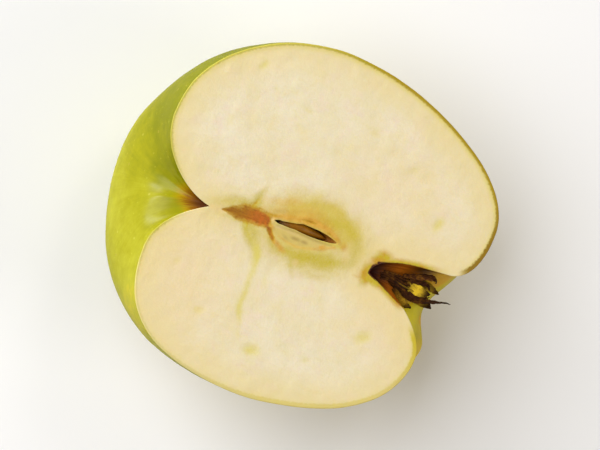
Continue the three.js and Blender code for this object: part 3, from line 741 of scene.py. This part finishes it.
def lining_look():
    m = Look("seed_chamber")
    p = m.place()
    deep = m.number("deep")
    grain = m.noise(m.scaled(p, (0.4, 1, 1)), 0.5, 3, 0.6)
    # painted shade: the lining is tan at the opening and turns darker brown deeper down
    colour = m.mix(m.step(deep, 0.0, 0.30), srgb(206, 148, 58), srgb(166, 102, 26))
    colour = m.mix(m.step(deep, 0.35, 1.0), colour, srgb(118, 66, 14))
    colour = m.mix(m.step(grain, 0.35, 0.7, 0.0, 0.5), colour, srgb(96, 60, 20))
    m.set(Base_Color=colour, Roughness=0.38, IOR=1.5, Coat_Weight=0.1, Coat_Roughness=0.2)
    m.set(Normal=m.relief(grain, 0.4, 0.00012))
    return m.material


def seed_look():
    m = Look("seed_coat")
    p = m.place()
    fibre = m.noise(m.scaled(p, (0.12, 1, 1)), 0.22, 3, 0.6, 0.3)
    broad = m.noise(p, 1.8, 2)
    colour = m.ramp(m.math("ADD", m.math("MULTIPLY", fibre, 0.6), m.math("MULTIPLY", broad, 0.4)), [
        (0.25, srgb(96, 54, 0)), (0.5, srgb(150, 96, 4)), (0.75, srgb(190, 130, 18))])
    colour = m.mix(m.number("tip"), colour, srgb(176, 132, 74))
    m.set(Base_Color=colour, Roughness=m.step(fibre, 0.3, 0.7, 0.32, 0.5), IOR=1.36)
    m.set(Normal=m.relief(fibre, 0.3, 0.00006))
    return m.material


def dry_look():
    m = Look("dried_calyx")
    p = m.place()
    felt = m.number("felt")
    tip = m.number("tip")
    fibre = m.noise(m.scaled(p, (0.35, 1, 1)), 0.28, 3, 0.65, 0.4)
    broad = m.noise(p, 1.4, 3, 0.5, 0.3)
    colour = m.ramp(m.math("ADD", m.math("MULTIPLY", fibre, 0.5), m.math("MULTIPLY", broad, 0.5)), [
        (0.3, srgb(22, 8, 4)), (0.5, srgb(64, 32, 8)), (0.7, srgb(128, 84, 18))])
    colour = m.mix(m.math("MULTIPLY", felt, m.step(fibre, 0.25, 0.6, 0.5, 1.0)), colour, srgb(222, 186, 44))
    colour = m.mix(m.math("MULTIPLY", tip, 0.75), colour, srgb(34, 18, 8))
    m.set(Base_Color=colour, Roughness=m.step(fibre, 0.3, 0.7, 0.7, 0.95), IOR=1.22)
    m.set(Normal=m.relief(m.math("ADD", fibre, broad), 0.6, 0.0001))
    return m.material


SKIN, FLESH, LINING, SEED, DRY = skin_look(), flesh_look(), lining_look(), seed_look(), dry_look()

# ------------------------------------------------------------------ the body of the half
body = make_object("half", row_points, faces, [SKIN, FLESH, LINING], which)
total = len(points)
give(body, "fruit", points)
st = np.zeros(total)
st[:n_skin] = skin_station
ph = np.zeros(total)
ph[:n_skin] = skin_phi
# texture place for streaks that run from the stem to the calyx: wide steps along, fine steps round
run = np.interp(st, [0, 1, 2, 3, 4, 5], [0, 22, 62, 108, 124, 142])
give(body, "streak", np.stack([np.cos(ph) * 26, np.sin(ph) * 26, run * 0.13], -1))
side = points[:, 1] / 36
# the skin's tone, yellower towards the calyx and underneath, with painted shade and painted light added on some parts
# below
tone_and_painted_shading = 0.30 + 0.40 * smooth(points[:, 0], -30, 26) + 0.10 * noise(points, 22.0, 131) + 0.16 * smooth(points[:, 2], -8, -34)
# greener and darker over the big lobe's stem shoulder: partly the skin's own green, partly painted shade
tone_and_painted_shading = tone_and_painted_shading - 0.30 * smooth(points[:, 1], -4, 16) * (1 - smooth(points[:, 0], -26, -8)) * (1 - smooth(-points[:, 2], 14, 30))
tone_and_painted_shading = tone_and_painted_shading - 0.20 * bump(st, 0.50, 0.30) * (1 - smooth(ph, 1.15, 1.75))  # painted shade: darker green on that side of the stem cavity
tone_and_painted_shading = tone_and_painted_shading + 0.25 * bump(st, 3.05, 0.55) * bump(ph, 2.5, 0.9)  # painted light: lighter, yellower skin over the calyx crown there, where it lies in shade
tone_and_painted_shading = tone_and_painted_shading + 0.22 * bump(st, 1.30, 0.55) * smooth(ph, 2.2, 3.0)  # and along the small lobe's stem flank
tone_and_painted_shading = tone_and_painted_shading + 0.20 * smooth(st, 1.15, 1.8) * (1 - smooth(points[:, 0], -6, 26)) * bump(ph, 2.05, 1.15)  # and lighter over its outer side: partly a yellower skin, partly painted light on a side in shade
tone_and_painted_shading = np.where(np.arange(total) < n_skin, tone_and_painted_shading, 0.5)
give(body, "tone_and_painted_shading", tone_and_painted_shading)
give(body, "hollow", np.where(np.arange(total) < n_skin, 1 - smooth(st, 0.0, 0.86), 0))
give(body, "pipe", np.where(np.arange(total) < n_skin, smooth(st, 3.3, 5.0), 0))
# the basin is golden on the big lobe's side, and has an orange spot low on the other
gold = 0.16 * smooth(ph, 0.2, 0.6) * (1 - smooth(ph, 0.9, 1.5)) * bump(st, 3.8, 0.8) + 0.32 * bump(ph, 2.08, 0.34) * bump(st, 3.46, 0.22) - 0.14 * bump(ph, 2.45, 0.7) * bump(st, 3.85, 0.35)
give(body, "gold", np.where(np.arange(total) < n_skin, gold, 0))
# painted shade: a near-black patch on the tube wall under the big lobe's rim
give(body, "painted_tube_shade", np.where(np.arange(total) < n_skin, 0.9 * bump(ph, 0.35, 0.75) * bump(st, 4.24, 0.24), 0))
blank = np.zeros(total)
for key, value in face_masks.items():
    v = blank.copy()
    v[flat_to_body] = value
    give(body, key, v)
edge = np.full(total, 9.0)
edge[flat_to_body] = to_rim
give(body, "edge", edge)
deep = blank.copy()
deep[inner_start:] = (-points[inner_start:, 2] / 5.2).clip(0, 1)
give(body, "deep", deep)
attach(body, "root")
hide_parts("flesh")


# ------------------------------------------------------------------ the seed
def seed():
    n, sides = 90, 56
    u = (1 - np.cos(np.pi * np.arange(1, n) / n)) / 2
    g = np.sin(np.pi * u**0.72).clip(0) ** 0.8
    pts, tip = [], []
    a = np.linspace(0, 2 * np.pi, sides, endpoint=False)
    x = PIP["x0"] + (PIP["x1"] - PIP["x0"]) * u
    mid = np.interp(x, chamber_x, chamber_mid)
    for k in range(len(u)):
        c, s = np.cos(a), np.sin(a)
        y = mid[k] + PIP["halfThick"] * g[k] * np.sign(c) * np.abs(c) ** 0.9 * (1 + 0.10 * s)
        z = -PIP["depth"] + PIP["halfWide"] * g[k] * np.sign(s) * np.abs(s) ** 1.05
        pts.append(np.stack([np.full(sides, x[k]), y, z], -1))
        tip.append(np.full(sides, 1 - smooth(u[k], 0.02, 0.12)))
    pts = np.concatenate(pts)
    pts += 0.02 * noise(pts * np.array([0.2, 1, 1]), 0.5, 151)[:, None] * np.array([0, 1, 0.5])
    ends = np.array([[PIP["x0"], mid[0], -PIP["depth"]], [PIP["x1"], mid[-1], -PIP["depth"]]])
    at = lambda k, i: 2 + k * sides + i % sides
    fcs = []
    for i in range(sides):
        fcs.append((0, at(0, i + 1), at(0, i)))
        fcs.append((1, at(len(u) - 1, i), at(len(u) - 1, i + 1)))
        for k in range(len(u) - 1):
            fcs.append((at(k, i), at(k, i + 1), at(k + 1, i + 1), at(k + 1, i)))
    pts = np.concatenate([ends, pts])
    ob = make_object("seed", to_row(pts), fcs, [SEED])
    give(ob, "fruit", pts)
    give(ob, "tip", np.concatenate([[1, 0], np.concatenate(tip)]))
    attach(ob, "root")
    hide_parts("pip")


seed()


# ------------------------------------------------------------------ the dried calyx
def sweep_rings(rings, cap_start, cap_end, base):
    """Faces of a closed tube through rings of equal length, its points being start, rings, end from index base on."""
    n, m = len(rings[0]), len(rings)
    at = lambda k, i: base + 1 + k * n + i % n
    last = base + 1 + m * n
    fcs = []
    for i in range(n):
        fcs.append((base, at(0, i + 1), at(0, i)))
        fcs.append((last, at(m - 1, i), at(m - 1, i + 1)))
        for k in range(m - 1):
            fcs.append((at(k, i), at(k, i + 1), at(k + 1, i + 1), at(k + 1, i)))
    return fcs


class Tuft:
    def __init__(self):
        self.points, self.faces, self.felt, self.tip = [], [], [], []
        self.count = 0

    def add(self, start, rings, finish, felt, tip):
        """felt and tip hold one value for each ring (or for each point of each ring)."""
        n = len(rings[0])
        self.faces += sweep_rings(rings, start, finish, self.count)
        pts = np.concatenate([[start], *rings, [finish]])
        per = lambda v: np.concatenate([[np.mean(v[0])], *[np.broadcast_to(x, n) for x in v], [np.mean(v[-1])]])
        self.points.append(pts)
        self.felt.append(per(felt))
        self.tip.append(per(tip))
        self.count += len(pts)


def frames_along(c, side0):
    """Tangent, side and up along a line of points."""
    t = np.gradient(c, axis=0)
    t /= np.linalg.norm(t, axis=1, keepdims=True)
    side, up, s = [], [], np.array(side0, float)
    for k in range(len(c)):
        s = s - t[k] * (s @ t[k])
        s /= np.linalg.norm(s)
        side.append(s)
        up.append(np.cross(t[k], s))
    return t, np.array(side), np.array(up)


def blade(tuft, places, width, thick, cup, twist, side0, seed_, felt=0.0, curl=0.0):
    """A dried sepal: a thin pointed leaf along a line, cupped, twisted and crinkled."""
    steps, sides = 46, 22
    c = curve_through(places, steps)
    t, side, up = frames_along(c, side0)
    rings, feltness, tips = [], [], []
    ang = np.linspace(0, 2 * np.pi, sides, endpoint=False)
    for k in range(steps - 1):
        v = k / (steps - 1)
        w = width / 2 * (0.62 + 1.1 * v) * (1 - v**1.8) + 0.05
        h = thick / 2 * (1 - 0.55 * v)
        a = math.radians(twist) * v
        s = side[k] * math.cos(a) + up[k] * math.sin(a)
        n = np.cross(t[k], s)
        x = np.cos(ang) * w
        q = np.stack([x, 0 * x, 0 * x + k * 0.17], -1)
        rough = 0.16 * noise(q, 0.55, seed_) + 0.10 * noise(q, 0.25, seed_ + 1)
        lift = cup * (x / (w + 1e-6)) ** 2 * w + rough * min(1, 3 * v + 0.2) + curl * np.sin(x * 2.6 + seed_) * v
        y = np.sin(ang) * h * (1 - 0.5 * np.cos(ang) ** 2) + lift
        rings.append(c[k] + np.outer(x, s) + np.outer(y, n))
        inner_side = (np.sin(ang) > 0).astype(float)
        feltness.append(felt * inner_side * bump(v, 0.45, 0.5))
        tips.append(np.full(sides, smooth(v, 0.55, 1.0)))
    tuft.add(c[0] - t[0] * 0.15, rings, c[-1], feltness, tips)


def thread(tuft, places, radius, seed_, knob=0.0, felt=0.0):
    """A dried stamen: a thin bent stalk, thicker at its end where the anther was."""
    steps, sides = 26, 8
    c = curve_through(places, steps)
    q = np.c_[np.arange(steps) * 0.3, np.zeros(steps), np.zeros(steps)]
    c = c + 0.12 * np.stack([0 * q[:, 0], noise(q, 1.2, seed_), noise(q, 1.2, seed_ + 3)], -1)
    t, side, up = frames_along(c, (0.1, 1, 0.2))
    ang = np.linspace(0, 2 * np.pi, sides, endpoint=False)
    rings, f, tp = [], [], []
    for k in range(steps):
        v = k / (steps - 1)
        r = radius * (1.25 - 0.5 * v) + knob * bump(v, 0.95, 0.09)
        rings.append(c[k] + r * (np.outer(np.cos(ang), side[k]) + np.outer(np.sin(ang), up[k])))
        f.append(felt * smooth(v, 0.3, 0.8))
        tp.append(smooth(v, 0.85, 0.95))
    tuft.add(c[0] - t[0] * radius, rings, c[-1] + t[-1] * radius, f, tp)


def seen(x, y, z):
    """A place z deep whose line of sight meets the cut face at x, y."""
    return (x - 0.444 * z, y - 0.118 * z, z)


def calyx():
    tuft = Tuft()
    # sepals, bases on the tube's mouth, blades out over the basin
    blade(tuft, [seen(25.6, 2.1, -2.2), seen(28.2, 2.9, -1.5), seen(30.8, 3.8, -0.8), seen(32.3, 3.9, -0.9), seen(33.0, 3.0, -1.9)], 2.5, 0.42, 0.30, 20, (0, -0.3, 1), 201, 0.0, 0.12)
    blade(tuft, [seen(26.8, 0.6, -2.6), seen(28.8, 0.4, -1.8), seen(30.6, 0.3, -1.2), seen(32.6, 0.5, -1.3)], 2.7, 0.40, 0.22, -12, (0, 1, 0.1), 202, 1.0, 0.08)
    blade(tuft, [seen(25.6, -0.7, -2.6), seen(28.8, -1.5, -1.8), seen(31.4, -1.1, -1.4), seen(34.2, -0.3, -1.6), seen(37.6, 0.3, -2.6)], 1.7, 0.36, 0.40, 60, (0, 1, 0.3), 203, 0.0, 0.10)
    blade(tuft, [seen(24.6, -1.2, -2.4), seen(26.8, -2.3, -1.8), seen(28.4, -3.1, -1.4), seen(29.7, -3.4, -1.9)], 2.5, 0.40, 0.30, 10, (0, 0.6, 0.8), 204, 0.42, 0.10)
    blade(tuft, [seen(26.0, 0.0, -4.2), seen(29.4, -0.8, -4.8), seen(32.0, -1.6, -5.2), seen(34.0, -2.2, -4.2)], 3.0, 0.42, 0.30, 15, (0, 1, 0), 205, 0.5, 0.1)
    blade(tuft, [seen(28.2, 1.9, -2.8), seen(30.6, 1.9, -2.2), seen(32.6, 1.5, -2.0), seen(34.4, 1.1, -2.9)], 1.7, 0.36, 0.35, -35, (0, 1, 0.1), 206, 0.35, 0.1)
    blade(tuft, [seen(27.4, 1.6, -1.9), seen(29.4, 2.0, -1.1), seen(31.2, 2.1, -0.7), seen(32.1, 1.2, -1.0)], 1.1, 0.32, 0.3, 40, (0, 1, 0.3), 207, 0.0, 0.08)
    blade(tuft, [seen(28.0, -0.7, -1.9), seen(29.6, -1.1, -1.2), seen(31.2, -0.7, -0.9), seen(32.6, 0.1, -1.2)], 1.0, 0.32, 0.3, 30, (0, 1, 0.3), 208, 0.0, 0.08)
    # stamens, along the tube
    n = 19
    for k in range(n):
        g = 2.399963 * k
        r = math.sqrt((k + 0.5) / n)
        y0, z0 = 0.9 + 0.9 * r * math.cos(g), -2.2 - abs(1.2 * r * math.sin(g))
        y1 = 0.5 + 2.2 * r * math.cos(g + 0.6)
        z1 = -1.7 - abs(1.9 * r * math.sin(g + 0.6))
        reach = 28.0 + 3.6 * ((k * 0.618) % 1)
        thread(tuft, [(21.8 + 0.8 * ((k * 0.37) % 1), y0, z0), (24.6, y0 + 0.2, z0 + 0.4 * ((k * 0.29) % 1)), (27.0, (y0 + y1) / 2, (z0 + z1) / 2 + 0.5 * ((k * 0.53) % 1)),
               (reach, y1, z1), (reach + 0.9, y1 + 0.5 * math.sin(g * 2), z1 - 0.5)], 0.15, 220 + k, 0.17, 0.45 if k % 5 == 1 else 0.0)
    # the dry remains between them
    u = np.linspace(0.03, 0.97, 34)
    ang = np.linspace(0, 2 * np.pi, 30, endpoint=False)
    rings = []
    for v in u:
        g = math.sin(math.pi * v**1.6) ** 0.55
        base = np.array([22.2 + 8.0 * v, 1.0 - 1.3 * v, -2.7 - 0.3 * v])
        ring = base + np.stack([0 * ang, 1.35 * g * np.cos(ang), 0.95 * g * np.sin(ang)], -1)
        ring += 0.30 * g * noise(ring, 0.7, 241, 3)[:, None] * np.stack([0 * ang, np.cos(ang), np.sin(ang)], -1)
        rings.append(ring)
    tuft.add(np.array([22.0, 1.0, -2.7]), rings, np.array([30.4, -0.3, -3.0]), [0.0] * len(u), [0.7] * len(u))
    pts = np.concatenate(tuft.points)
    ob = make_object("calyx_tuft", to_row(pts), tuft.faces, [DRY])
    give(ob, "fruit", pts)
    give(ob, "felt", np.concatenate(tuft.felt))
    give(ob, "tip", np.concatenate(tuft.tip))
    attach(ob, "root")
    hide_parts("calyx")


calyx()

# ------------------------------------------------------------------ floor, light and camera
bpy.ops.mesh.primitive_plane_add(size=6, location=(0, 0, -0.00005))
floor = bpy.context.object
floor.name = "floor"
ground = Look("pale_floor")
ground.set(Base_Color=(0.88, 0.885, 0.905), Roughness=0.9, IOR=1.3)
floor.data.materials.append(ground.material)

VIEW = Vector((0.3066, 0.1073, -0.9458)).normalized()
UP = Vector((-0.3791, 0.9252, -0.0180)).normalized()
RIGHT = VIEW.cross(UP).normalized()
EYE = Vector((-0.311736, -0.04767, 0.98699))
AIM = Vector((-0.003016, 0.00016, 0.03516))
cam = bpy.data.cameras.new("camera")
cam.lens, cam.sensor_width, cam.sensor_fit = 309, 36, "HORIZONTAL"
cam.clip_start, cam.clip_end = 0.05, 20
camera = bpy.data.objects.new("camera", cam)
bpy.context.scene.collection.objects.link(camera)
camera.location = EYE
gaze = (AIM - EYE).normalized()
right = gaze.cross(UP).normalized()
up = right.cross(gaze).normalized()
camera.matrix_world = Matrix((
    (right.x, up.x, -gaze.x, EYE.x), (right.y, up.y, -gaze.y, EYE.y), (right.z, up.z, -gaze.z, EYE.z), (0, 0, 0, 1)))
bpy.context.scene.camera = camera


def lamp(name, direction, distance, size, power, colour):
    """A soft lamp, square unless size is (width, height). direction is as the picture shows it: right, up, towards the viewer."""
    d = (RIGHT * direction[0] + UP * direction[1] - VIEW * direction[2]).normalized()
    light = bpy.data.lights.new(name, "AREA")
    wide, high = size if isinstance(size, tuple) else (size, size)
    light.shape, light.size, light.size_y, light.energy, light.color = "RECTANGLE", wide, high, power, colour
    ob = bpy.data.objects.new(name, light)
    bpy.context.scene.collection.objects.link(ob)
    ob.location = Vector((0, 0, 0.02)) + d * distance
    ob.rotation_mode = "QUATERNION"
    ob.rotation_quaternion = (-d).to_track_quat("-Z", "Y")
    return ob


lamp("key", (-0.40, 0.28, 0.87), 1.6, 1.35, 25.2, (0.925, 0.950, 1.0))
lamp("side", (-0.515, 0.767, 0.383), 1.3, (0.85, 0.36), 13.2, (0.97, 0.985, 1.0))
lamp("far", (0.50, 0.55, 0.67), 1.7, 0.4, 2.2, (1.0, 0.97, 0.92))
lamp("fill", (0.86, -0.30, 0.42), 1.4, 0.6, 3.4, (1.0, 0.94, 0.84))
world = bpy.data.worlds.new("world")
bpy.context.scene.world = world
world.use_nodes = True
world.node_tree.nodes["Background"].inputs["Color"].default_value = (1.0, 0.885, 0.69, 1)
world.node_tree.nodes["Background"].inputs["Strength"].default_value = 0.29
bpy.context.scene.view_settings.view_transform = "Standard"
bpy.context.scene.view_settings.look = "None"
bpy.context.scene.view_settings.exposure = 0.0
bpy.context.scene.view_settings.gamma = 1.0
